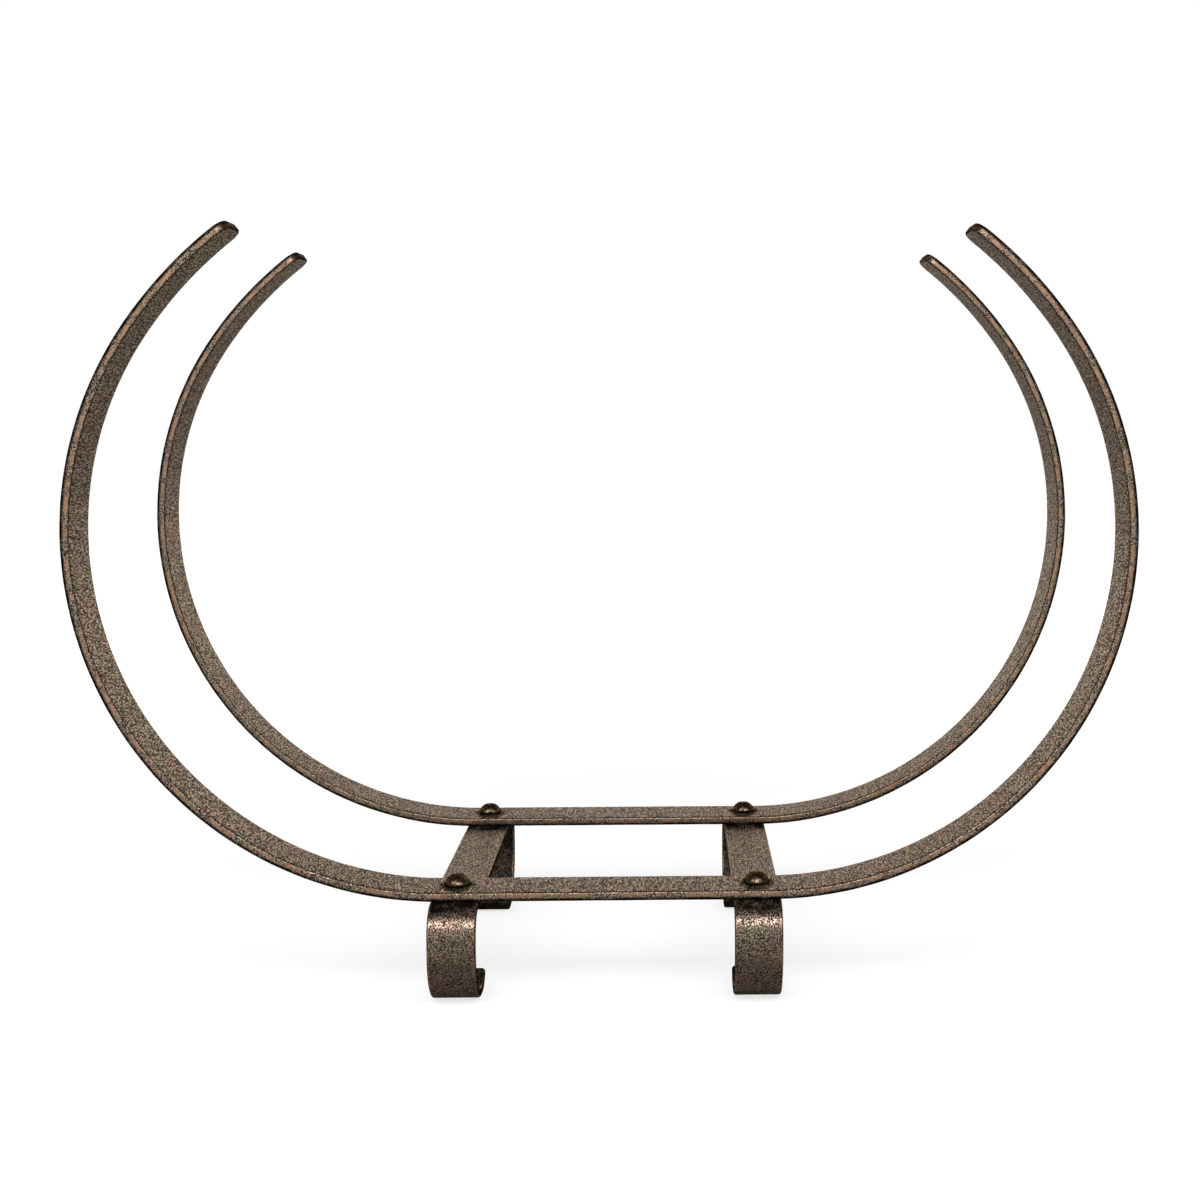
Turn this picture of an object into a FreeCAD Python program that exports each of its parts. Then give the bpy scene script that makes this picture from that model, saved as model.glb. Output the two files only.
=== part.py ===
"""Firewood rack: two U-shaped flat-bar hoops bolted across two foot bars with curled ends.

Millimetres. +X to the right, +Y to the back, +Z up, origin on the floor under the middle of the rack.
"""
import FreeCAD, Part
import math
import os

# Flat bar of the hoops
HOOP_BAR_WIDTH = 38.1
HOOP_BAR_THICKNESS = 6.35
HOOP_EDGE_RADIUS = 1.5

# Bends of a hoop, measured on its outer face
HOOP_RADIUS = 239.5
HOOP_STRAIGHT = 219.5
HOOP_CURL_ANGLE = 35.0
HOOP_TIP_RADIUS = 290.0
HOOP_TIP_ANGLE = 18.5
HOOP_TIP_CORNER_RADIUS = 9.5
HOOP_SPACING = 203.2

# Flat bar of the foot bars
FOOT_BAR_WIDTH = 31.75
FOOT_BAR_THICKNESS = 6.35
FOOT_EDGE_RADIUS = 1.5

# Bends of a foot, measured on its outer face, and how far it stands out beyond a hoop
FOOT_BAR_SPACING = 200.0
FOOT_REACH = 18.0
FOOT_TOP_RADIUS = 20.0
FOOT_RISER = 10.5
FOOT_HEEL_RADIUS = 38.5
FOOT_FLAT = 5.0
FOOT_LIP_RADIUS = 18.0
FOOT_LIP_ANGLE = 65.0
FOOT_LIP_CORNER_RADIUS = 2.5

# Round-head socket screw
SCREW_DIAMETER = 9.525
SCREW_TAIL = 2.0
SCREW_TIP_CHAMFER = 0.9
HEAD_DIAMETER = 16.66
HEAD_HEIGHT = 6.7
HEAD_RIM = 2.0
HEAD_EDGE_RADIUS = 1.2
HEAD_CROWN_DIAMETER = 8.4
SOCKET_WIDTH = 5.56
SOCKET_DEPTH = 3.6
SCREW_HOLE_CLEARANCE = 0.4

# Split lock washer
WASHER_BAND = 3.75
WASHER_THICKNESS = 2.4
WASHER_BORE_CLEARANCE = 0.15
WASHER_SLIT = 1.5
WASHER_SLIT_ANGLE = 20.0

# Hex nut
NUT_WIDTH = 14.29
NUT_HEIGHT = 8.33
NUT_BORE_CLEARANCE = 0.05
NUT_CHAMFER_ANGLE = 30.0

# Heights and places that follow from the sizes above
FOOT_HEIGHT = FOOT_TOP_RADIUS + FOOT_RISER + FOOT_HEEL_RADIUS
FOOT_FRONT = HOOP_SPACING / 2 + HOOP_BAR_WIDTH / 2 + FOOT_REACH
HEAD_SEAT = FOOT_HEIGHT + HOOP_BAR_THICKNESS
WASHER_SEAT = FOOT_HEIGHT - FOOT_BAR_THICKNESS
NUT_SEAT = WASHER_SEAT - WASHER_THICKNESS
SCREW_LENGTH = HEAD_SEAT - NUT_SEAT + NUT_HEIGHT + SCREW_TAIL
SCREW_RADIUS = SCREW_DIAMETER / 2

LEFT_RIGHT = {"left": -1, "right": 1}
FRONT_REAR = {"front": -1, "rear": 1}
UP = FreeCAD.Vector(0, 0, 1)
MIDDLE = FreeCAD.Vector(0, 0, 0)

# A rounding takes at most this share of the wall it is cut into
ROUNDING_SHARE = 0.45
# Faces that meet at more than this angle, in degrees, have a sharp edge between them
SHARP_ANGLE = 30.0


def flat_point(u, v):
    """Point of an outline, drawn in the XZ plane."""
    return FreeCAD.Vector(u, 0, v)


def edge_through(points):
    """Straight edge through two points, or arc through three."""
    curve = Part.LineSegment if len(points) == 2 else Part.Arc
    return curve(*points).toShape()


def half_outline(height, moves, thickness, turn):
    """Edges of half a bent bar seen edge-on, from its middle to one end.

    Each move is (length, radius, degrees): a straight run, or none, and then a bend, on the outer face.
    The outer face starts at the given height, heading along +X. turn is 1 where the bar bends up and -1
    where it bends down, and the inner face lies on that side.
    """
    heading = 0.0
    outer_start = flat_point(0, height)
    edges = []
    for length, radius, degrees in moves:
        headings = [math.radians(heading + turn * degrees * share) for share in (0, 0.5, 1)]
        inward = [flat_point(-math.sin(a), math.cos(a)) * turn for a in headings]
        run = flat_point(math.cos(headings[0]), math.sin(headings[0])) * length
        centre = outer_start + run + inward[0] * radius
        for depth in (0, thickness):
            start = outer_start + inward[0] * depth
            if length:
                edges.append(edge_through([start, start + run]))
            edges.append(edge_through([centre - way * (radius - depth) for way in inward]))
        heading += turn * degrees
        outer_start = centre - inward[2] * radius
    edges.append(edge_through([outer_start, outer_start + inward[2] * thickness]))
    return edges


def bent_bar(height, moves, width, thickness, turn):
    """Flat bar bent alike at both ends, lying along X and centred on Y."""
    half = half_outline(height, moves, thickness, turn)
    other_half = [edge.mirror(MIDDLE, FreeCAD.Vector(1, 0, 0)) for edge in half]
    outline = Part.Wire(Part.__sortEdges__(half + other_half))
    bar = Part.Face(outline).extrude(FreeCAD.Vector(0, width, 0))
    bar.translate(FreeCAD.Vector(0, -width / 2, 0))
    return bar.removeSplitter()


def end_corners(bar, thickness):
    """The short straight edges at the four corners of a bar's two ends."""
    straight = [edge for edge in bar.Edges if isinstance(edge.Curve, Part.Line)]
    across = [edge for edge in straight if abs(edge.tangentAt(edge.FirstParameter).y) < 0.5]
    return [edge for edge in across if abs(edge.Length - thickness) < 1e-6]


def face_normal(face, point):
    """Outward direction of a face at a point on it."""
    return face.normalAt(*face.Surface.parameter(point))


def sharp_edges(solid):
    """Edges where two faces meet at an angle, leaving out those where one runs smoothly into the next."""
    found = []
    for edge in solid.Edges:
        middle = edge.valueAt((edge.FirstParameter + edge.LastParameter) / 2)
        faces = solid.ancestorsOfType(edge, Part.Face)
        first, second = [face_normal(face, middle) for face in faces]
        if math.degrees(first.getAngle(second)) > SHARP_ANGLE:
            found.append(edge)
    return found


def rounded_bar(bar, width, thickness, corner_radius, edge_radius):
    """Bar with its end corners rounded off and all its edges eased."""
    corners = end_corners(bar, thickness)
    bar = bar.makeFillet(min(corner_radius, ROUNDING_SHARE * width), corners)
    return bar.makeFillet(min(edge_radius, ROUNDING_SHARE * thickness), sharp_edges(bar))


def screw_holes(places):
    """Vertical holes for the screws, through all the bars at the given (x, y) places."""
    radius = SCREW_RADIUS + SCREW_HOLE_CLEARANCE
    depth = HEAD_SEAT - WASHER_SEAT
    holes = [Part.makeCylinder(radius, depth, FreeCAD.Vector(x, y, WASHER_SEAT), UP) for x, y in places]
    return Part.makeCompound(holes)


def hoop(y):
    """One hoop, with a flat bottom on the foot bars and arms that curl in over the logs."""
    moves = [(HOOP_STRAIGHT / 2, HOOP_RADIUS, 90 + HOOP_CURL_ANGLE), (0, HOOP_TIP_RADIUS, HOOP_TIP_ANGLE)]
    bar = bent_bar(FOOT_HEIGHT, moves, HOOP_BAR_WIDTH, HOOP_BAR_THICKNESS, 1)
    bar = rounded_bar(bar, HOOP_BAR_WIDTH, HOOP_BAR_THICKNESS, HOOP_TIP_CORNER_RADIUS, HOOP_EDGE_RADIUS)
    bar.translate(FreeCAD.Vector(0, y, 0))
    return bar.cut(screw_holes([(x, y) for x in screw_xs.values()]))


def foot_bar(x):
    """One foot bar, bent down at both ends and curled under into a foot with a raised lip."""
    moves = [
        (FOOT_FRONT - FOOT_TOP_RADIUS, FOOT_TOP_RADIUS, 90),
        (FOOT_RISER, FOOT_HEEL_RADIUS, 90),
        (FOOT_FLAT, FOOT_LIP_RADIUS, FOOT_LIP_ANGLE),
    ]
    bar = bent_bar(FOOT_HEIGHT, moves, FOOT_BAR_WIDTH, FOOT_BAR_THICKNESS, -1)
    bar = rounded_bar(bar, FOOT_BAR_WIDTH, FOOT_BAR_THICKNESS, FOOT_LIP_CORNER_RADIUS, FOOT_EDGE_RADIUS)
    bar.rotate(MIDDLE, UP, 90)
    bar.translate(FreeCAD.Vector(x, 0, 0))
    return bar.cut(screw_holes([(x, y) for y in screw_ys.values()]))


def hex_prism(width, height, base):
    """Upright hexagonal prism on the Z axis, as wide across its flats as given."""
    corner = width / math.sqrt(3)
    angles = [math.radians(60 * i) for i in range(7)]
    points = [FreeCAD.Vector(corner * math.cos(a), corner * math.sin(a), base) for a in angles]
    return Part.Face(Part.makePolygon(points)).extrude(UP * height)


def turned(edges):
    """Solid turned about the Z axis from an outline in the XZ plane."""
    return Part.Face(Part.Wire(Part.__sortEdges__(edges))).revolve(MIDDLE, UP, 360)


def dome(rim, crown):
    """Arc from the rim of a screw head up to its crown, level where it reaches the axis."""
    rise = crown.z - rim.z
    centre = flat_point(0, crown.z - (rim.x ** 2 - crown.x ** 2 + rise ** 2) / (2 * rise))
    radius = (rim - centre).Length
    middle = (rim - centre) + (crown - centre)
    return edge_through([rim, centre + middle.normalize() * radius, crown])


def screw():
    """Round-head screw with a hex socket. Its seat is at height 0 and its plain shank hangs below."""
    head_radius = HEAD_DIAMETER / 2
    rim = flat_point(head_radius, HEAD_RIM)
    crown = flat_point(HEAD_CROWN_DIAMETER / 2, HEAD_HEIGHT)
    edge_middle = HEAD_EDGE_RADIUS * (1 - math.sqrt(0.5))
    edge = [
        flat_point(head_radius - HEAD_EDGE_RADIUS, 0),
        flat_point(head_radius - edge_middle, edge_middle),
        flat_point(head_radius, HEAD_EDGE_RADIUS),
    ]
    below = [
        crown,
        flat_point(0, HEAD_HEIGHT),
        flat_point(0, -SCREW_LENGTH),
        flat_point(SCREW_RADIUS - SCREW_TIP_CHAMFER, -SCREW_LENGTH),
        flat_point(SCREW_RADIUS, SCREW_TIP_CHAMFER - SCREW_LENGTH),
        flat_point(SCREW_RADIUS, 0),
        edge[0],
    ]
    sides = [edge_through(pair) for pair in zip(below, below[1:])]
    sides += [edge_through(edge), edge_through([edge[2], rim]), dome(rim, crown)]
    socket = hex_prism(SOCKET_WIDTH, SOCKET_DEPTH, HEAD_HEIGHT - SOCKET_DEPTH)
    return turned(sides).cut(socket)


def washer():
    """Lock washer pressed flat, hanging below height 0, with its slanting slit."""
    bore = SCREW_RADIUS + WASHER_BORE_CLEARANCE
    ring = Part.makeCylinder(bore + WASHER_BAND, WASHER_THICKNESS)
    hole = Part.makeCylinder(bore, WASHER_THICKNESS)
    slit = Part.makeBox(bore + WASHER_BAND, WASHER_SLIT, 3 * WASHER_THICKNESS)
    slit.translate(FreeCAD.Vector(0, -WASHER_SLIT / 2, -WASHER_THICKNESS))
    slit.rotate(FreeCAD.Vector(0, 0, WASHER_THICKNESS / 2), FreeCAD.Vector(1, 0, 0), WASHER_SLIT_ANGLE)
    split_ring = ring.cut([hole, slit])
    split_ring.translate(UP * -WASHER_THICKNESS)
    return split_ring


def nut():
    """Hex nut hanging below height 0, with its corners chamfered top and bottom and a plain bore."""
    corner = NUT_WIDTH / math.sqrt(3)
    drop = (corner - NUT_WIDTH / 2) * math.tan(math.radians(NUT_CHAMFER_ANGLE))
    profile = [
        flat_point(0, 0),
        flat_point(NUT_WIDTH / 2, 0),
        flat_point(corner, -drop),
        flat_point(corner, drop - NUT_HEIGHT),
        flat_point(NUT_WIDTH / 2, -NUT_HEIGHT),
        flat_point(0, -NUT_HEIGHT),
    ]
    chamfered = turned([edge_through(pair) for pair in zip(profile, profile[1:] + profile[:1])])
    blank = hex_prism(NUT_WIDTH, NUT_HEIGHT, -NUT_HEIGHT).common(chamfered)
    bore = Part.makeCylinder(SCREW_RADIUS + NUT_BORE_CLEARANCE, NUT_HEIGHT, UP * -NUT_HEIGHT, UP)
    return blank.cut(bore)


# Screws stand where the middle of a hoop's bar crosses the middle of a foot bar
screw_xs = {side: sign * FOOT_BAR_SPACING / 2 for side, sign in LEFT_RIGHT.items()}
screw_ys = {end: sign * HOOP_SPACING / 2 for end, sign in FRONT_REAR.items()}

nodes = {}
for end, y in screw_ys.items():
    nodes[f"{end}_hoop"] = hoop(y)
for side, x in screw_xs.items():
    nodes[f"{side}_foot_bar"] = foot_bar(x)
fasteners = {"screw": (screw(), HEAD_SEAT), "washer": (washer(), WASHER_SEAT), "nut": (nut(), NUT_SEAT)}
for name, (shape, seat) in fasteners.items():
    for end, y in screw_ys.items():
        for side, x in screw_xs.items():
            nodes[f"{name}_{end}_{side}"] = shape.translated(FreeCAD.Vector(x, y, seat))

os.makedirs("parts", exist_ok=True)
for name, shape in nodes.items():
    (solid,) = shape.Solids
    solid.exportStep(f"parts/{name}.step")
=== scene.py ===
"""Firewood rack: two bent flat-bar hoops bolted across two foot bars, with its finish, studio and camera.

Metres. +X to the right, +Y to the back, +Z up, origin on the floor under the middle of the rack.
"""
import math

import bpy
import numpy as np
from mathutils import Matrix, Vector


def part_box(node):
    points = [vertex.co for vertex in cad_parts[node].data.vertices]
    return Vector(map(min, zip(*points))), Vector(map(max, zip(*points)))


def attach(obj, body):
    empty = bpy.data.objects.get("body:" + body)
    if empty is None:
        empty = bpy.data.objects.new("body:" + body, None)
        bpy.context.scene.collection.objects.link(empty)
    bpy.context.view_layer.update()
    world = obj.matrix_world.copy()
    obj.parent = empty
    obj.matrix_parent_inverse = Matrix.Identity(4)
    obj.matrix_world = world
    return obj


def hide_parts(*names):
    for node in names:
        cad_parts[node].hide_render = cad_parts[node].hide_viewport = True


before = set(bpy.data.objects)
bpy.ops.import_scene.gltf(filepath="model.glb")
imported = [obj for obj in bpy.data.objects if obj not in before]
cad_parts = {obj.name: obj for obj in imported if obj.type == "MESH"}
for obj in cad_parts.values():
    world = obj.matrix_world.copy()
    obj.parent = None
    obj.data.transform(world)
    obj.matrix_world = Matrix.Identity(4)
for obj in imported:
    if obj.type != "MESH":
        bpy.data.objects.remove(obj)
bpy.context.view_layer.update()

MM = 0.001
QUARTER_TURN = math.radians(90.0)
ENDS = ("front", "rear")
SIDES = ("left", "right")

# Bends of the bars, measured on their outer faces
HOOP_RADIUS = 239.5 * MM
HOOP_TURN = math.radians(90 + 35.0)
HOOP_TIP_RADIUS = 290.0 * MM
HOOP_TIP_TURN = math.radians(18.5)
FOOT_TOP_RADIUS = 20.0 * MM
FOOT_HEEL_RADIUS = 38.5 * MM
FOOT_FLAT = 5.0 * MM
FOOT_LIP_RADIUS = 18.0 * MM
FOOT_LIP_TURN = math.radians(65.0)

# Section and ends of the bars
BAR_THICKNESS = 6.35 * MM
EDGE_RADIUS = 1.5 * MM
HOOP_CORNER_RADIUS = 9.5 * MM
FOOT_CORNER_RADIUS = 2.5 * MM

# Screws: round heads with hex sockets, 16 threads to the inch
HEAD_RADIUS = 8.33 * MM
HEAD_HEIGHT = 6.7 * MM
HEAD_RIM = 2.0 * MM
HEAD_EDGE_RADIUS = 1.2 * MM
HEAD_CROWN_RADIUS = 4.2 * MM
SOCKET_WIDTH = 5.56 * MM
SOCKET_CHAMFER = 0.35 * MM
SOCKET_DEPTH = 3.2 * MM
SOCKET_CONE = 0.4 * MM
SOCKET_CONE_RADIUS = 0.55 * MM
SHANK_RADIUS = 4.7625 * MM
SHANK_TIP_CHAMFER = 0.9 * MM
THREAD_PITCH = 25.4 / 16 * MM
THREAD_DEPTH = 0.8 * MM
SCREW_HOLE_RADIUS = 5.1625 * MM

# Fineness of the meshes, and the angles in degrees at which their faces crease
BAR_STEP = 2.0 * MM
FACE_ROWS = 9
CORNER_STEPS = 8
EDGE_STEPS = 6
SIDE_STEPS = 5
ROUND_SEGMENTS = 48
HEAD_EDGE_STEPS = 5
DOME_STEPS = 12
THREAD_STEPS = 8
BAR_CREASE = 40.0
SCREW_CREASE = 35.0

# Unevenness of hand-bent bars: how far the faces lie inside the true section, as shares of its half size
FACE_INSETS = (0.015, 0.05)
SIDE_INSETS = (0.003, 0.010)
WAVE_LENGTHS = (9.0 * MM, 60.0 * MM)
WAVE_COUNT = 14
WAVE_GAIN = 0.9
END_INSET = 0.15 * MM
BAR_SEEDS = {"front_hoop": 11, "rear_hoop": 12, "left_foot_bar": 13, "right_foot_bar": 14}
SIDE_SEED_STEP = 100

# Wear, painted highlight and painted shade round the edge of a bar, as amounts from 0 to 1 at places round
# it.
# Place 0 is the outer face, 1 to 2 the narrow side and 3 the inner face.
# On the hoops this rub is copper wear together with a painted highlight along the narrow side
HOOP_RUB_AND_HIGHLIGHT = ((1.1, 0.0), (1.5, 0.65), (2.1, 0.65), (2.4, 0.0))
# Painted shade: dark outer edges of the hoops, standing in for their shaded undersides and silhouettes
HOOP_OUTER_SHADE = ((0.0, 0.0), (0.1, 1.0), (1.1, 1.0), (1.25, 0.4), (1.45, 0.0))
# Painted shade: a dark crease line where the hoops' narrow side meets their inner face
HOOP_INNER_CREASE_SHADE = ((2.3, 0.0), (2.45, 0.8), (2.7, 0.8), (2.85, 0.0))
FOOT_OUTER_RUB = ((0.0, 0.0), (0.15, 1.0), (0.55, 1.0), (0.75, 0.0))
FOOT_INNER_RUB = ((2.35, 0.0), (2.5, 1.0), (2.75, 1.0), (2.9, 0.0))
# Painted shade on the foot bars' narrow sides, and lighter on their inner faces
FOOT_SIDE_SHADE = ((0.65, 0.0), (0.85, 0.9), (2.2, 0.9), (2.4, 0.0))
FOOT_INNER_SHADE = ((2.8, 0.0), (3.0, 0.6))
INNER_FACE_FROM = 2.9
OUTER_FACE_TO = 0.1

# Painted shade round the screw heads and on their rims, painted shadow beside the hoops, and painted shade
# on the tips and the lips.
# Rub on the foot bars, less between the hoops than past them, and a little on the heels.
# Each starts at its FROM distance and has its whole amount at its TO distance.
SCREW_SHADOW, SCREW_SHADOW_REACH = 1.0, 5.0 * MM
CROSSING_SHADOW = 1.0
CROSSING_SHADOW_FROM, CROSSING_SHADOW_TO = 16.0 * MM, 9.0 * MM
TIP_SHADE = 0.8
TIP_SHADE_FROM, TIP_SHADE_TO = 7.0 * MM, 4.0 * MM
LIP_SHADE = 0.85
LIP_SHADE_FROM, LIP_SHADE_TO = 30.0 * MM, 18.0 * MM
RUB_REACH = 15.0 * MM
STRAP_RUB = 0.4
HEEL_RUB, HEEL_RUB_FROM, HEEL_RUB_TO = 0.22, 30.0 * MM, 55.0 * MM
HEAD_RIM_SHADE_FROM, HEAD_RIM_SHADE_TO = 2.4 * MM, 1.4 * MM


def new_object(name, points, faces):
    """Mesh object in the scene."""
    mesh = bpy.data.meshes.new(name)
    mesh.from_pydata([tuple(p) for p in points], [], faces)
    mesh.update()
    made = bpy.data.objects.new(name, mesh)
    bpy.context.scene.collection.objects.link(made)
    return made


def new_piece(name, points, faces, material):
    """Mesh piece that rides on the rack and takes its finish from a material slot."""
    piece = new_object(name, points, faces)
    piece.data.materials.append(material)
    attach(piece, "root")
    return piece


def smooth_shading(piece, crease_degrees):
    """Smooth faces, with a crease wherever two of them meet at more than the given angle."""
    piece.data.shade_smooth()
    piece.data.set_sharp_from_angle(angle=math.radians(crease_degrees))


def trace(moves, distance):
    """Place and inward direction of a bar's outer face, at each distance from the bar's middle.

    Each move is (run, radius, turn): a straight run, then a bend of that many radians, up where it is
    positive. The bar is alike on both sides of its middle. All turns have the same sign, which is the bar's
    inner side.
    """
    reach = np.abs(distance)
    along = np.zeros_like(reach)
    rise = np.zeros_like(reach)
    heading = np.zeros_like(reach)
    inner_side = np.sign(moves[0][2])
    passed = 0.0
    start_heading = 0.0
    for run, radius, turn in moves:
        straight = np.clip(reach - passed, 0, run)
        bent = inner_side * np.clip(reach - passed - run, 0, radius * abs(turn)) / radius
        lever = inner_side * radius
        along += straight * math.cos(start_heading)
        along += lever * (np.sin(start_heading + bent) - math.sin(start_heading))
        rise += straight * math.sin(start_heading)
        rise += lever * (math.cos(start_heading) - np.cos(start_heading + bent))
        heading += bent
        passed += run + radius * abs(turn)
        start_heading += turn
    mirror = np.sign(distance)
    inward = inner_side * np.stack([-np.sin(heading) * mirror, np.cos(heading)], axis=1)
    return np.stack([along * mirror, rise], axis=1), inward


def half_length(moves):
    """Length of a bar's outer face from its middle to one end."""
    return sum(run + radius * abs(turn) for run, radius, turn in moves)


def waves(seed, low, high):
    """Smooth uneven function of two lengths, between two values."""
    draw = np.random.default_rng(seed)
    shortest, longest = WAVE_LENGTHS
    lengths = np.exp(draw.uniform(math.log(shortest), math.log(longest), WAVE_COUNT))
    angles = draw.uniform(0, 2 * math.pi, WAVE_COUNT)
    phases = draw.uniform(0, 2 * math.pi, WAVE_COUNT)
    heights = lengths ** 0.5 / np.sum(lengths ** 0.5)

    def at(first, second):
        turns = np.outer(first, np.cos(angles) / lengths) + np.outer(second, np.sin(angles) / lengths)
        total = np.sum(heights * np.sin(2 * math.pi * turns + phases), axis=1)
        return low + (high - low) * np.clip(0.5 + WAVE_GAIN * total, 0, 1)

    return at


def slab_stations(half, width, corner):
    """Stations along a straight bar with rounded corners, for the flat of its faces inside the eased edges.

    Gives the distance of each station from the bar's middle, the half width there, and the outward
    direction of the outline there as (along, across).
    """
    body_count = math.ceil((half - corner) / BAR_STEP)
    body = np.linspace(0, half - corner, body_count + 1)
    angles = np.linspace(0, QUARTER_TURN, CORNER_STEPS + 1)[1:]
    flat_corner = corner - EDGE_RADIUS
    distance = np.concatenate([body, half - corner + flat_corner * np.sin(angles)])
    straight_spread = np.full(len(body), width / 2 - EDGE_RADIUS)
    spread = np.concatenate([straight_spread, width / 2 - corner + flat_corner * np.cos(angles)])
    ahead = np.concatenate([np.zeros(len(body)), np.sin(angles)])
    aside = np.concatenate([np.ones(len(body)), np.cos(angles)])
    halves = ((distance, -1), (spread, 1), (ahead, -1), (aside, 1))
    return [np.concatenate([sign * part[:0:-1], part]) for part, sign in halves]


def edge_profile():
    """Places round the edge of a bar, from the outer face over the narrow side to the inner face.

    Each is (place, depth below the outer face, reach beyond the flat of the faces).
    """
    shares = np.linspace(0, 1, EDGE_STEPS + 1)[1:]
    drops = EDGE_RADIUS * (1 - np.cos(shares * QUARTER_TURN))
    reaches = EDGE_RADIUS * np.sin(shares * QUARTER_TURN)
    outer = list(zip(shares, drops, reaches))
    flat = np.linspace(0, 1, SIDE_STEPS + 1)[1:-1]
    side = [(1 + s, EDGE_RADIUS + s * (BAR_THICKNESS - 2 * EDGE_RADIUS), EDGE_RADIUS) for s in flat]
    inner = [(3 - place, BAR_THICKNESS - drop, reach) for place, drop, reach in reversed(outer)]
    return outer + side + inner


def slab_border(ahead, aside):
    """Border of a face's grid of points, in order, as (station, row, outward along, outward across)."""
    last = len(ahead) - 1
    middle_rows = range(1, FACE_ROWS - 1)
    border = [(i, FACE_ROWS - 1, ahead[i], aside[i]) for i in range(last + 1)]
    border += [(last, j, 1.0, 0.0) for j in reversed(middle_rows)]
    border += [(i, 0, ahead[i], -aside[i]) for i in reversed(range(last + 1))]
    border += [(0, j, -1.0, 0.0) for j in middle_rows]
    return border


def slab_faces(grid, loops):
    """Four-sided faces of a bar: over both of its wide faces, and between the loops round its edge."""
    faces = []
    for i in range(len(grid) - 1):
        for j in range(FACE_ROWS - 1):
            corners = (grid[i, j], grid[i + 1, j], grid[i + 1, j + 1], grid[i, j + 1])
            faces.append(tuple(int(c) for c in corners))
            faces.append(tuple(int(c) + grid.size for c in reversed(corners)))
    for upper, lower in zip(loops, loops[1:]):
        for k in range(len(upper)):
            after = (k + 1) % len(upper)
            faces.append(tuple(int(c) for c in (upper[k], upper[after], lower[after], lower[k])))
    return faces


def slab(half, width, corner):
    """Straight flat bar with rounded corners and eased edges, as a closed mesh of four-sided faces.

    Points are (along, across, depth), with depth 0 on the outer face. Also gives how far round the edge
    each point lies: 0 on the outer face, 1 and 2 where the narrow side begins and ends, and 3 on the inner
    face.
    """
    distance, spread, ahead, aside = slab_stations(half, width, corner)
    stations = len(distance)
    across = np.linspace(-1, 1, FACE_ROWS)
    grid = np.arange(stations * FACE_ROWS).reshape(stations, FACE_ROWS)
    flat = np.stack([np.repeat(distance, FACE_ROWS), np.outer(spread, across).ravel()], axis=1)

    border = slab_border(ahead, aside)
    ring = [grid[i, j] for i, j, _, _ in border]
    inner_ring = [point + grid.size for point in ring]
    ring_flat = flat[ring]
    outward = np.array([(a, b) for _, _, a, b in border])

    points = [np.column_stack([flat, np.full(len(flat), depth)]) for depth in (0.0, BAR_THICKNESS)]
    edges = [np.zeros(len(flat)), np.full(len(flat), 3.0)]
    loops = [ring]
    start = 2 * len(flat)
    for place, depth, reach in edge_profile():
        loop = ring_flat + outward * reach
        points.append(np.column_stack([loop, np.full(len(loop), depth)]))
        edges.append(np.full(len(loop), place))
        loops.append(list(range(start, start + len(loop))))
        start += len(loop)
    loops.append(inner_ring)
    return np.concatenate(points), slab_faces(grid, loops), np.concatenate(edges)


def unevened(points, half, width, seed):
    """The slab's points, drawn in a little and unevenly, as on a bar bent and hammered by hand."""
    along, across, depth = points.T
    thin = waves(seed, *FACE_INSETS)(along, across)
    narrow = waves(seed + SIDE_SEED_STEP, *SIDE_INSETS)(along, np.sign(across) * width)
    centre = BAR_THICKNESS / 2
    depth = centre + (depth - centre) * (1 - thin)
    return np.column_stack([along * (1 - END_INSET / half), across * (1 - narrow), depth])


def bent_bar(node, moves, section, base, to_world, holes, wear_and_shade, material):
    """Flat bar bent along its moves, drilled for its screws, in place of its CAD node.

    The section is (width, corner radius).
    """
    half = half_length(moves)
    points, faces, edge = slab(half, *section)
    # Rub, which on the hoops is also a painted highlight, and painted shade
    rub, soil = wear_and_shade(points, edge)
    points = unevened(points, half, section[0], BAR_SEEDS[node])
    outer, inward = trace(moves, points[:, 0])
    plane = outer + inward * points[:, 2:3]
    placed = [to_world(along, across, base + rise) for (along, rise), across in zip(plane, points[:, 1])]
    piece = new_piece(f"{node}_bar", placed, faces, material)
    put_amounts(piece, rub=rub, soil=soil)
    drill(piece, holes)
    smooth_shading(piece, BAR_CREASE)
    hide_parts(node)


def put_amounts(piece, **amounts):
    """Amounts of wear, painted highlight and painted shade, carried by a piece's points under their names.
    """
    for name, values in amounts.items():
        attribute = piece.data.attributes.new(name, "FLOAT", "POINT")
        attribute.data.foreach_set("value", values.astype(np.float32))


def amount(edge, profile):
    """Amounts of rub, painted highlight and painted shade at places round an edge, from a profile of
    (place, amount) pairs.
    """
    return np.interp(edge, *zip(*profile))


def hoop_wear_and_shade(holes, half):
    """Function for the rub and the painted light on a hoop: rub with a painted highlight along its narrow
    side, and painted shade along its edges, round its screws and on its tips.
    """
    def at(points, edge):
        along, across, _ = points.T
        # Painted shadow round the screw heads on the hoop's inner face
        gaps = [np.hypot(along - x, across) - HEAD_RADIUS for x, _ in holes]
        by_screws = np.clip(1 - np.min(gaps, axis=0) / SCREW_SHADOW_REACH, 0, 1) * (edge > INNER_FACE_FROM)
        # Painted shade on the narrow sides at the tips
        to_end = half - np.abs(along)
        on_tips = np.interp(to_end, (TIP_SHADE_TO, TIP_SHADE_FROM), (TIP_SHADE, 0.0))
        on_tips *= (edge > OUTER_FACE_TO) & (edge < INNER_FACE_FROM)
        on_edges = amount(edge, HOOP_OUTER_SHADE + HOOP_INNER_CREASE_SHADE)
        soil = np.maximum.reduce([on_edges, SCREW_SHADOW * by_screws, on_tips])
        return amount(edge, HOOP_RUB_AND_HIGHLIGHT), soil

    return at


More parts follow.
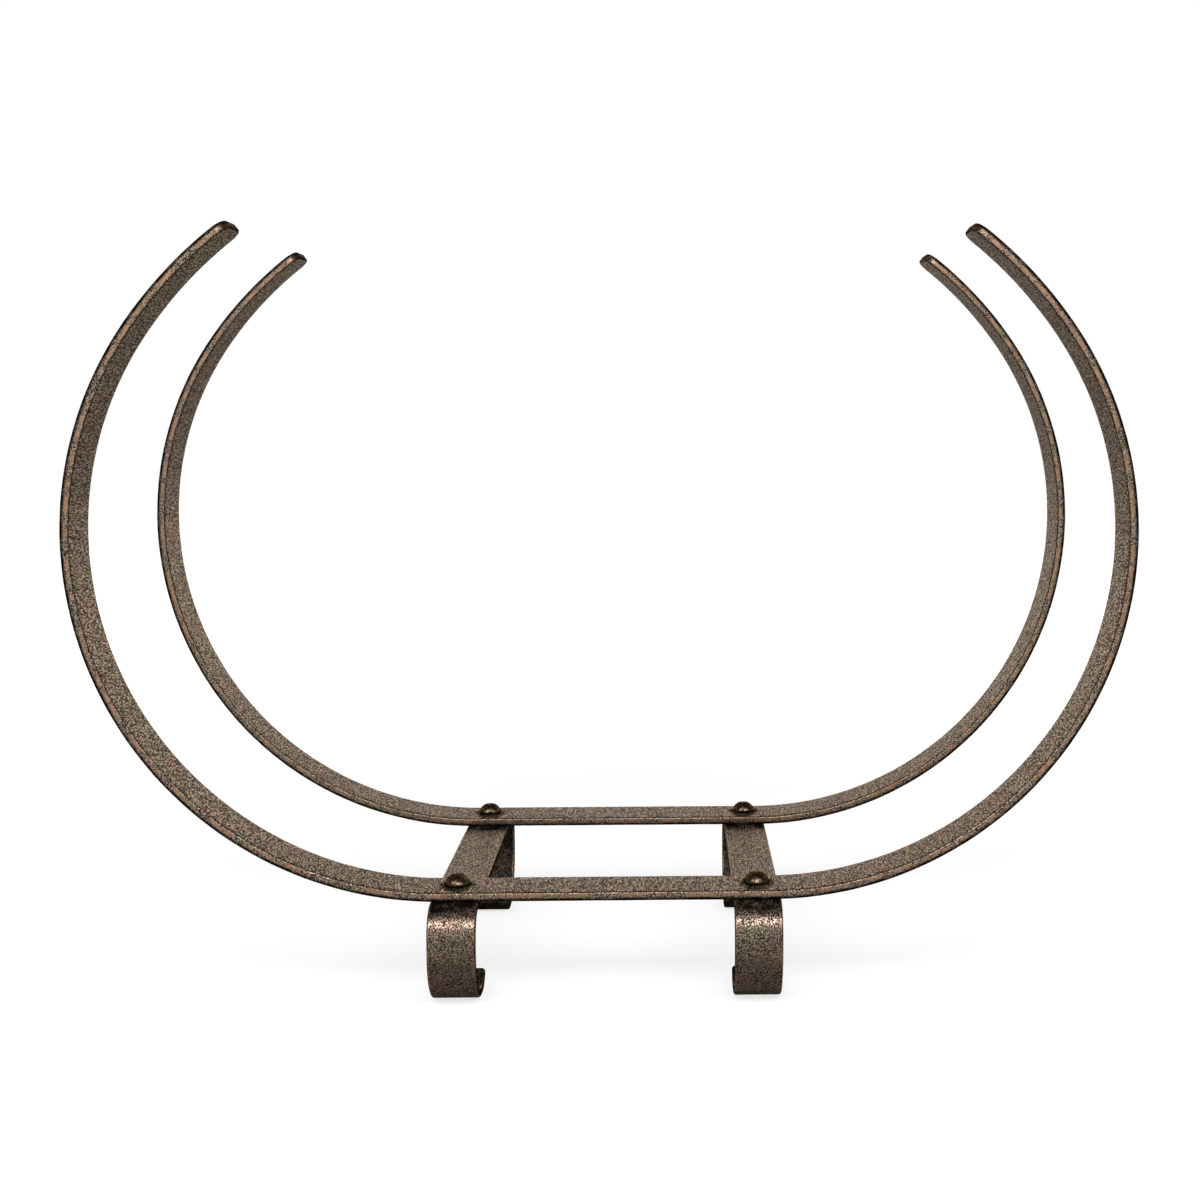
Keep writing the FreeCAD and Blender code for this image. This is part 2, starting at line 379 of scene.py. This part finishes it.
def foot_wear_and_shade(near, far, half):
    """Function for the rub and the painted shade on a foot bar of a given half length.

    A hoop crosses it between a near and a far distance from its middle.
    """
    def at(points, edge):
        reach = np.abs(points[:, 0])
        gap = np.maximum(near - reach, reach - far)
        # Painted shadow of the hoops on the foot bar's outer face, just past where they cross it
        by_hoops = np.interp(gap, (CROSSING_SHADOW_TO, CROSSING_SHADOW_FROM), (CROSSING_SHADOW, 0.0))
        by_hoops *= edge < OUTER_FACE_TO
        handled = np.clip((reach - far) / RUB_REACH, STRAP_RUB, 1)
        # Painted shade on the lips
        on_lips = np.interp(half - reach, (LIP_SHADE_TO, LIP_SHADE_FROM), (LIP_SHADE, 0.0))
        on_edges = amount(edge, FOOT_SIDE_SHADE + FOOT_INNER_SHADE)
        soil = np.maximum.reduce([on_edges, by_hoops, on_lips])
        heel = np.interp(reach - far, (HEEL_RUB_FROM, HEEL_RUB_TO), (0.0, HEEL_RUB))
        heel *= edge < OUTER_FACE_TO
        rub = amount(edge, FOOT_OUTER_RUB + FOOT_INNER_RUB) * handled
        return np.maximum(rub, heel), soil

    return at


def circle(radius):
    """Points round a circle, as (x, y)."""
    angles = np.linspace(0, 2 * math.pi, ROUND_SEGMENTS, endpoint=False)
    return [(radius * math.cos(a), radius * math.sin(a)) for a in angles]


def drill(piece, holes):
    """Round holes right through a piece, at the given (x, y) places."""
    low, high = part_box("screw_front_left")
    rim = circle(SCREW_HOLE_RADIUS)
    for x, y in holes:
        points, faces = ring_mesh([[(x + u, y + v, z) for u, v in rim] for z in (low.z, high.z)])
        cutter = new_object("drill", points, faces)
        cut = piece.modifiers.new("hole", "BOOLEAN")
        cut.object = cutter
        cut.operation = "DIFFERENCE"
        cut.solver = "EXACT"
        bpy.context.view_layer.update()
        cut_piece = piece.evaluated_get(bpy.context.evaluated_depsgraph_get())
        drilled = bpy.data.meshes.new_from_object(cut_piece)
        piece.modifiers.clear()
        solid = piece.data
        piece.data = drilled
        drilled.name = solid.name
        bpy.data.meshes.remove(solid)
        bpy.data.objects.remove(cutter)


def ring_mesh(rings):
    """Points and faces of a closed skin over rings of points, with a flat lid at each end."""
    count = len(rings[0])
    points = [p for ring in rings for p in ring]
    faces = [tuple(reversed(range(count)))]
    for r in range(len(rings) - 1):
        for k in range(count):
            after = (k + 1) % count
            faces.append((r * count + k, r * count + after, (r + 1) * count + after, (r + 1) * count + k))
    faces.append(tuple(range((len(rings) - 1) * count, len(rings) * count)))
    return points, faces


def srgb(red, green, blue):
    """Linear colour from the 0 to 255 values that it has on a screen."""
    parts = [value / 255 for value in (red, green, blue)]
    linear = [p / 12.92 if p <= 0.04045 else ((p + 0.055) / 1.055) ** 2.4 for p in parts]
    return (*linear, 1.0)


def add_node(tree, kind, inputs=None, **settings):
    """Shader node with its settings, and each input set to a value or linked to another node's output."""
    node = tree.nodes.new(kind)
    for name, value in settings.items():
        setattr(node, name, value)
    for socket, value in (inputs or {}).items():
        if isinstance(value, bpy.types.NodeSocket):
            tree.links.new(value, node.inputs[socket])
        else:
            node.inputs[socket].default_value = value
    return node


def add_ramp(tree, factor, stops):
    """Colour ramp with the given (position, colour) stops."""
    node = add_node(tree, "ShaderNodeValToRGB", {"Fac": factor})
    elements = node.color_ramp.elements
    while len(elements) < len(stops):
        elements.new(0.5)
    for element, (position, colour) in zip(elements, stops):
        element.position = position
        element.color = colour
    return node.outputs["Color"]


def add_range(tree, value, from_range, to_range, smooth=False):
    """Value carried from one range to another, clamped, and eased at both ends where smooth."""
    inputs = {"Value": value, "From Min": from_range[0], "From Max": from_range[1]}
    inputs |= {"To Min": to_range[0], "To Max": to_range[1]}
    kind = "SMOOTHSTEP" if smooth else "LINEAR"
    return add_node(tree, "ShaderNodeMapRange", inputs, interpolation_type=kind).outputs[0]


def add_noise(tree, place, scale, detail, roughness):
    """Noise with about the given number of grains to the metre."""
    inputs = {"Vector": place, "Scale": scale, "Detail": detail, "Roughness": roughness}
    return add_node(tree, "ShaderNodeTexNoise", inputs).outputs["Fac"]


def add_math(tree, operation, first, second, clamp=False):
    """Arithmetic on two values or outputs."""
    inputs = {0: first, 1: second}
    return add_node(tree, "ShaderNodeMath", inputs, operation=operation, use_clamp=clamp).outputs[0]


def add_mix(tree, factor, first, second, blend="MIX"):
    """Colour between two colours or outputs."""
    inputs = {0: factor, 6: first, 7: second}
    return add_node(tree, "ShaderNodeMix", inputs, data_type="RGBA", blend_type=blend).outputs[2]


def add_attribute(tree, name):
    """Amount that the mesh carries under a name."""
    return add_node(tree, "ShaderNodeAttribute", attribute_name=name).outputs["Fac"]


def new_material(name):
    """Node material, with its tree and its principled shader."""
    material = bpy.data.materials.new(name)
    material.use_nodes = True
    tree = material.node_tree
    return material, tree, tree.nodes["Principled BSDF"]


# Colours of the finishes: ramps of (position, colour) stops, and single colours
GRAIN = ((0.38, srgb(34, 28, 23)), (0.5, srgb(108, 94, 81)), (0.62, srgb(200, 181, 163)))
CAST = ((0.35, srgb(242, 249, 234)), (0.5, srgb(250, 250, 250)), (0.65, srgb(255, 240, 242)))
# Copper of rubbed edges, also used as a painted highlight on the hoops' narrow sides
RUB_AND_HIGHLIGHT_COPPER = srgb(190, 150, 120)
# Dark colour and dull sheen of the painted shade
SHADE_PAINT = srgb(22, 16, 12)
SHEEN = (0.70, 0.63, 0.57, 1.0)
SHADE_PAINT_SHEEN = (0.10, 0.08, 0.07, 1.0)
OXIDE_GRAIN = ((0.38, srgb(46, 36, 28)), (0.5, srgb(98, 81, 66)), (0.62, srgb(150, 127, 105)))
OXIDE_SHEEN = (0.22, 0.18, 0.15, 1.0)
WHITE = (1.0, 1.0, 1.0, 1.0)

# Grain of the finishes: noise as (grains to the metre, detail, roughness), its stretch from front to back
# on the bars, and the spans of the noise over which roughness, rub and painted shade change
SPECKLE, PATCHES, STREAKS = (1150, 1.5, 0.6), (75, 3.0, 0.55), (110, 3.0, 0.6)
OXIDE_SPECKLE = (700, 3.0, 0.6)
GRAIN_STRETCH = (1.0, 0.24, 1.0)
ROUGHNESS_SPAN = (0.3, 0.7)
RUB_SPAN = (0.42, 0.6)
SHADE_SPAN, SHADE_GAIN = (0.35, 0.65), (0.7, 1.2)

# Shine of the finishes, and the strength of a fine bump that follows their speckle
BAR_ROUGHNESS, OXIDE_ROUGHNESS = (0.42, 0.30), (0.36, 0.22)
BAR_BUMP, OXIDE_BUMP = 0.25, 0.2
BUMP_HEIGHT = 0.2 * MM
METALLIC = 0.95


def link_metal(tree, shader, speckle, soiled, colours, roughness, bump_strength):
    """Connects a speckled metal shader that goes dark and dull under painted shade. The colours are (base,
    sheen).
    """
    bump = {"Height": speckle, "Strength": bump_strength, "Distance": BUMP_HEIGHT}
    outputs = {
        "Base Color": add_mix(tree, soiled, colours[0], SHADE_PAINT),
        "Specular Tint": add_mix(tree, soiled, colours[1], SHADE_PAINT_SHEEN),
        "Roughness": add_range(tree, speckle, ROUGHNESS_SPAN, roughness),
        "Normal": add_node(tree, "ShaderNodeBump", bump).outputs[0],
        "Metallic": add_range(tree, soiled, (0.0, 1.0), (METALLIC, 0.0)),
    }
    for socket, output in outputs.items():
        tree.links.new(output, shader.inputs[socket])
    shader.inputs["Specular IOR Level"].default_value = 0.0


def bar_finish():
    """Grainy brown pewter coat, rubbed to copper, with a painted highlight and painted shade where the mesh
    says so.
    """
    material, tree, shader = new_material("bar_finish")
    place = add_node(tree, "ShaderNodeTexCoord").outputs["Object"]
    stretch = {0: place, 1: GRAIN_STRETCH}
    drawn = add_node(tree, "ShaderNodeVectorMath", stretch, operation="MULTIPLY").outputs[0]
    speckle = add_noise(tree, drawn, *SPECKLE)
    patches = add_noise(tree, place, *PATCHES)
    streaks = add_noise(tree, place, *STREAKS)
    toned = add_mix(tree, 1.0, add_ramp(tree, speckle, GRAIN), add_ramp(tree, patches, CAST), "MULTIPLY")
    # Copper rub, which on the hoops' narrow sides is also a painted highlight, broken by the streaks
    broken = add_range(tree, streaks, RUB_SPAN, (0.0, 1.0))
    rubbed = add_math(tree, "MULTIPLY", add_attribute(tree, "rub"), broken)
    # Painted shade, made uneven by the streaks
    uneven = add_range(tree, streaks, SHADE_SPAN, SHADE_GAIN)
    soiled = add_math(tree, "MULTIPLY", add_attribute(tree, "soil"), uneven, clamp=True)
    colours = (add_mix(tree, rubbed, toned, RUB_AND_HIGHLIGHT_COPPER), SHEEN)
    link_metal(tree, shader, speckle, soiled, colours, BAR_ROUGHNESS, BAR_BUMP)
    return material


def black_oxide():
    """Oiled black oxide on steel, gone brown, with painted shade where the mesh says so."""
    material, tree, shader = new_material("black_oxide")
    place = add_node(tree, "ShaderNodeTexCoord").outputs["Object"]
    speckle = add_noise(tree, place, *OXIDE_SPECKLE)
    # Painted shade at the foot of the screw heads
    soiled = add_attribute(tree, "soil")
    colours = (add_ramp(tree, speckle, OXIDE_GRAIN), OXIDE_SHEEN)
    link_metal(tree, shader, speckle, soiled, colours, OXIDE_ROUGHNESS, OXIDE_BUMP)
    return material


def hex_reach(angle):
    """Distance from a hexagon's middle to its outline, for a hexagon one unit across its flats."""
    return 0.5 / math.cos((angle % (math.pi / 3)) - math.pi / 6)


def thread_radius(z, tip):
    """Function for the radius of a cut thread by angle, at a height on a screw with its tip at another."""
    taper = min(1.0, (z - tip) / SHANK_TIP_CHAMFER)
    outer = SHANK_RADIUS - SHANK_TIP_CHAMFER * (1 - taper)

    def at(angle):
        phase = (z / THREAD_PITCH - angle / (2 * math.pi)) % 1.0
        valley = SHANK_RADIUS - THREAD_DEPTH * (1 - abs(2 * phase - 1))
        return min(outer, valley)

    return at


def head_levels(seat):
    """Levels up the outside of a screw's head, from its seat to its crown, as (height, radius)."""
    levels = []
    for turn in np.linspace(0, QUARTER_TURN, HEAD_EDGE_STEPS):
        lift = HEAD_EDGE_RADIUS * (1 - math.cos(turn))
        levels.append((seat + lift, HEAD_RADIUS - HEAD_EDGE_RADIUS * (1 - math.sin(turn))))
    rise = HEAD_HEIGHT - HEAD_RIM
    below = (HEAD_RADIUS ** 2 - HEAD_CROWN_RADIUS ** 2 - rise ** 2) / (2 * rise)
    ball = math.hypot(HEAD_RADIUS, below)
    lowest, highest = (math.asin(r / ball) for r in (HEAD_RADIUS, HEAD_CROWN_RADIUS))
    for lean in np.linspace(lowest, highest, DOME_STEPS):
        levels.append((seat + HEAD_RIM - below + ball * math.cos(lean), ball * math.sin(lean)))
    return levels


def socket_levels(top):
    """Levels down into a screw's hex socket, as (height, radius or function for the radius by angle)."""
    opening = SOCKET_WIDTH / 2 + SOCKET_CHAMFER

    def socket(angle):
        return SOCKET_WIDTH * hex_reach(angle)

    def mouth(angle):
        return max(opening, socket(angle))

    bottom = top - SOCKET_DEPTH
    cone = (bottom - SOCKET_CONE, SOCKET_CONE_RADIUS)
    return [(top, mouth), (top - SOCKET_CHAMFER, socket), (bottom, socket), cone]


def screw_rings(x, y, seat, tip, thread_top):
    """Rings of points up a screw: tip, thread, shank, head and down into its socket."""
    angles = [2 * math.pi * k / ROUND_SEGMENTS for k in range(ROUND_SEGMENTS)]

    def ring(z, radius):
        reach = [radius(a) if callable(radius) else radius for a in angles]
        return [(x + r * math.cos(a), y + r * math.sin(a), z) for r, a in zip(reach, angles)]

    heights = np.arange(tip, thread_top, THREAD_PITCH / THREAD_STEPS)
    levels = [(z, thread_radius(z, tip)) for z in heights]
    levels += [(thread_top, SHANK_RADIUS), (seat, SHANK_RADIUS)]
    levels += head_levels(seat) + socket_levels(seat + HEAD_HEIGHT)
    return [ring(z, radius) for z, radius in levels]


def screw_piece(node, washer_node, material):
    """Round-head screw with a cut thread, in place of its CAD node."""
    low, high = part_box(node)
    middle = (low + high) / 2
    thread_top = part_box(washer_node)[1].z
    seat = high.z - HEAD_HEIGHT
    points, faces = ring_mesh(screw_rings(middle.x, middle.y, seat, low.z, thread_top))
    piece = new_piece(f"{node}_piece", points, faces, material)
    # Painted shade at the foot of the head, where it meets the hoop
    rise = np.array([z - seat for _, _, z in points])
    put_amounts(piece, soil=np.interp(rise, (HEAD_RIM_SHADE_TO, HEAD_RIM_SHADE_FROM), (1.0, 0.0)))
    smooth_shading(piece, SCREW_CREASE)
    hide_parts(node)


def build_hoop(end, holes, material):
    """One hoop, lying along X, with its arms bent up and in."""
    node = f"{end}_hoop"
    low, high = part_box(node)
    middle_y = (low.y + high.y) / 2
    straight = (high.x - low.x) / 2 - HOOP_RADIUS
    moves = [(straight, HOOP_RADIUS, HOOP_TURN), (0.0, HOOP_TIP_RADIUS, HOOP_TIP_TURN)]
    section = (high.y - low.y, HOOP_CORNER_RADIUS)

    def to_world(along, across, z):
        return along, middle_y + across, z

    bent_bar(node, moves, section, low.z, to_world, holes, hoop_wear_and_shade(holes, half_length(moves)), material)


def build_foot_bar(side, holes, material):
    """One foot bar, lying along Y, with its ends bent down and curled into feet."""
    node = f"{side}_foot_bar"
    low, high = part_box(node)
    middle_x = (low.x + high.x) / 2
    riser = high.z - low.z - FOOT_TOP_RADIUS - FOOT_HEEL_RADIUS
    moves = [
        ((high.y - low.y) / 2 - FOOT_TOP_RADIUS, FOOT_TOP_RADIUS, -QUARTER_TURN),
        (riser, FOOT_HEEL_RADIUS, -QUARTER_TURN),
        (FOOT_FLAT, FOOT_LIP_RADIUS, -FOOT_LIP_TURN),
    ]
    section = (high.x - low.x, FOOT_CORNER_RADIUS)
    hoop_low, hoop_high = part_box("rear_hoop")

    def to_world(along, across, z):
        return middle_x - across, along, z

    wear_and_shade = foot_wear_and_shade(hoop_low.y, hoop_high.y, half_length(moves))
    bent_bar(node, moves, section, high.z, to_world, holes, wear_and_shade, material)


def build_rack():
    """All the pieces of the rack, in their finishes. Washers and nuts keep their CAD shapes."""
    bar, oxide = bar_finish(), black_oxide()
    spots = {}
    for end in ENDS:
        for side in SIDES:
            spots[end, side] = sum(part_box(f"screw_{end}_{side}"), Vector()) / 2
    for end in ENDS:
        build_hoop(end, [spots[end, side].xy for side in SIDES], bar)
    for side in SIDES:
        build_foot_bar(side, [spots[end, side].xy for end in ENDS], bar)
    for end, side in spots:
        screw_piece(f"screw_{end}_{side}", f"washer_{end}_{side}", oxide)
        for kind in ("washer", "nut"):
            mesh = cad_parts[f"{kind}_{end}_{side}"].data
            mesh.materials.clear()
            mesh.materials.append(oxide)


# Studio: a pale floor that runs out into white, seen as brighter by the camera than by the metal
FLOOR_RADIUS = 4.0
FLOOR_COLOUR, FLOOR_MIRRORED_COLOUR = 0.5, 0.2
FLOOR_GLOW, FLOOR_MIRRORED_GLOW = 0.74, 0.05
FLOOR_RUN_OUT, FLOOR_MIRRORED_RUN_OUT = (0.45, 1.5), (0.12, 0.6)
AMBIENT = 0.25

# Surroundings as the metal mirrors them: walls and far floor by how far a direction points to the back,
# and a dark ceiling by how far it points up
BACK_WALL, FRONT_WALL, SIDE_WALL, CEILING = 1.0, 0.7, 0.22, 0.03
BACK_FLOOR, FRONT_FLOOR = 0.36, 0.7
BACK_EDGE = (0.25, 0.7)
FRONT_EDGE = (-0.55, -0.9)
CEILING_EDGE = (0.42, 0.75)

# Lamp: wide, soft, in front of the rack and above the camera
KEY_SIZE = (3.4, 1.0)
KEY_PLACE = (0.0, -1.5, 1.45)
KEY_POWER = 37.0
AIM = Vector((0.0, 0.0, 0.2))

# Camera, fitted to the photo: focal length and optical centre in its pixels, angles in degrees
IMAGE_SIZE = 1200
FOCAL_PIXELS = 1657.0
OPTICAL_CENTRE = (720.1, 543.9)
CAMERA_PLACE = (0.04316, -1.19197, 0.38609)
CAMERA_PITCH = 4.343
CAMERA_YAW = -1.702
SENSOR_MM = 36.0


def ray_kinds(tree):
    """Outputs that are 1 for camera rays, and 1 for rays that show the background directly or mirrored."""
    path = add_node(tree, "ShaderNodeLightPath").outputs
    mirrored = add_math(tree, "MAXIMUM", path["Is Glossy Ray"], path["Is Transmission Ray"])
    return path["Is Camera Ray"], add_math(tree, "MAXIMUM", path["Is Camera Ray"], mirrored)


def add_wall(tree, direction, back, front):
    """Brightness of the surroundings in a direction, from that at the back and in front. Sides are dark."""
    depth = add_node(tree, "ShaderNodeSeparateXYZ", {0: direction}).outputs["Y"]
    behind = add_range(tree, depth, BACK_EDGE, (SIDE_WALL, back), smooth=True)
    before = add_range(tree, depth, FRONT_EDGE, (SIDE_WALL, front), smooth=True)
    return add_math(tree, "MAXIMUM", behind, before)


def floor_material():
    """Pale surface that keeps the shadow, and glows into the surroundings away from the rack."""
    material = bpy.data.materials.new("floor")
    material.use_nodes = True
    tree = material.node_tree
    tree.nodes.clear()
    place = add_node(tree, "ShaderNodeTexCoord").outputs["Object"]
    away = add_node(tree, "ShaderNodeVectorMath", {0: place}, operation="LENGTH").outputs["Value"]
    direction = add_node(tree, "ShaderNodeVectorMath", {0: place}, operation="NORMALIZE").outputs[0]
    camera, shown = ray_kinds(tree)
    seen = add_range(tree, away, FLOOR_RUN_OUT, (FLOOR_GLOW, 1.0), smooth=True)
    far = add_wall(tree, direction, BACK_FLOOR, FRONT_FLOOR)
    mirrored = add_range(tree, away, FLOOR_MIRRORED_RUN_OUT, (FLOOR_MIRRORED_GLOW, far), smooth=True)
    glow = add_math(tree, "MULTIPLY", shown, add_range(tree, camera, (0.0, 1.0), (mirrored, seen)))
    colour = add_range(tree, camera, (0.0, 1.0), (FLOOR_MIRRORED_COLOUR, FLOOR_COLOUR))
    lit = add_node(tree, "ShaderNodeBsdfDiffuse", {"Color": colour}).outputs[0]
    glowing = add_node(tree, "ShaderNodeEmission", {"Strength": glow}).outputs[0]
    pale = add_node(tree, "ShaderNodeAddShader", {0: lit, 1: glowing}).outputs[0]
    add_node(tree, "ShaderNodeOutputMaterial", {"Surface": pale})
    return material


def add_floor():
    """Round floor under the rack."""
    rim = [(x, y, 0) for x, y in circle(FLOOR_RADIUS)]
    floor = new_object("floor", rim, [tuple(range(ROUND_SEGMENTS))])
    floor.data.materials.append(floor_material())


def add_world():
    """Surroundings: white to the camera, walls and ceiling in the metal, and otherwise a gentle light."""
    world = bpy.data.worlds.new("studio")
    world.use_nodes = True
    tree = world.node_tree
    direction = add_node(tree, "ShaderNodeTexCoord").outputs["Generated"]
    height = add_node(tree, "ShaderNodeSeparateXYZ", {0: direction}).outputs["Z"]
    wall = add_wall(tree, direction, BACK_WALL, FRONT_WALL)
    mirrored = add_range(tree, height, CEILING_EDGE, (wall, CEILING), smooth=True)
    camera, shown = ray_kinds(tree)
    bright = add_math(tree, "MAXIMUM", camera, mirrored)
    background = tree.nodes["Background"]
    background.inputs["Color"].default_value = WHITE
    tree.links.new(add_range(tree, shown, (0.0, 1.0), (AMBIENT, bright)), background.inputs["Strength"])
    bpy.context.scene.world = world


def add_lamp():
    """Soft lamp aimed at the rack."""
    data = bpy.data.lights.new("key", "AREA")
    data.shape = "RECTANGLE"
    data.size, data.size_y = KEY_SIZE
    data.energy = KEY_POWER
    lamp = bpy.data.objects.new("key", data)
    lamp.location = KEY_PLACE
    lamp.rotation_euler = (AIM - Vector(KEY_PLACE)).to_track_quat("-Z", "Y").to_euler()
    bpy.context.scene.collection.objects.link(lamp)


def add_camera():
    """Camera where the photo was taken from, with the shift of the photo's crop."""
    data = bpy.data.cameras.new("camera")
    data.sensor_width = SENSOR_MM
    data.lens = FOCAL_PIXELS / IMAGE_SIZE * SENSOR_MM
    data.shift_x = 0.5 - OPTICAL_CENTRE[0] / IMAGE_SIZE
    data.shift_y = OPTICAL_CENTRE[1] / IMAGE_SIZE - 0.5
    camera = bpy.data.objects.new("camera", data)
    camera.location = CAMERA_PLACE
    camera.rotation_euler = (math.radians(90 - CAMERA_PITCH), 0, math.radians(CAMERA_YAW))
    bpy.context.scene.collection.objects.link(camera)
    bpy.context.scene.camera = camera


build_rack()
add_floor()
add_world()
add_lamp()
add_camera()
bpy.context.scene.view_settings.view_transform = "Standard"
